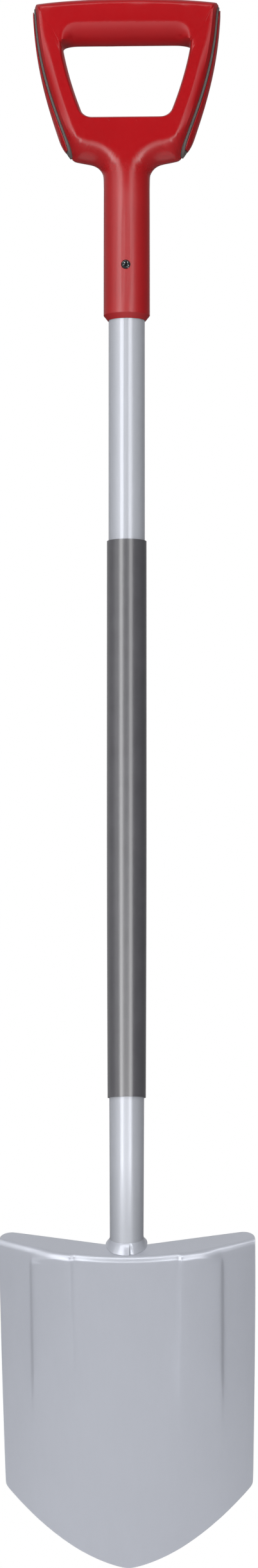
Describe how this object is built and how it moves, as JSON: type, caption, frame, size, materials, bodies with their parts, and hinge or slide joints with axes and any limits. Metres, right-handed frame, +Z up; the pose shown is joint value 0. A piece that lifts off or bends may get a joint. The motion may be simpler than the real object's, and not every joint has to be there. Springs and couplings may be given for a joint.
{
  "type": "pointed spade",
  "caption": "Digging spade with a pointed, dished blade, sloping foot tread, tubular steel shaft with a sleeve, and a moulded D-grip.",
  "frame": {"origin": "underside of the grip bar at its middle, where a hook would hold the hanging spade, on the shaft's axis", "axes": "+Z up along the shaft from the blade to the grip, +X to the right across the tread as seen from the back, +Y from the back of the blade to its hollow side"},
  "size_m": [0.1932, 0.0663, 1.199],
  "materials": {
    "grip_plastic": "satin red moulding",
    "cap_plastic": "satin red moulding",
    "insert_rubber": "matt warm grey",
    "screw_steel": "blackened steel",
    "shaft_steel": "silver lacquer, semi-gloss",
    "sleeve_plastic": "dark grey, semi-matt",
    "weld_steel": "weld bead under silver lacquer",
    "blade_steel": "silver lacquer, satin"
  },
  "bodies": {
    "root": {"grip_body": "grip_plastic", "side_insert_left": "insert_rubber", "side_insert_right": "insert_rubber", "side_cap_left": "cap_plastic", "side_cap_right": "cap_plastic", "grip_screw": "screw_steel", "shaft_tube": "shaft_steel", "shaft_sleeve": "sleeve_plastic", "weld_bead": "weld_steel", "blade": "blade_steel"}
  },
  "joints": []
}
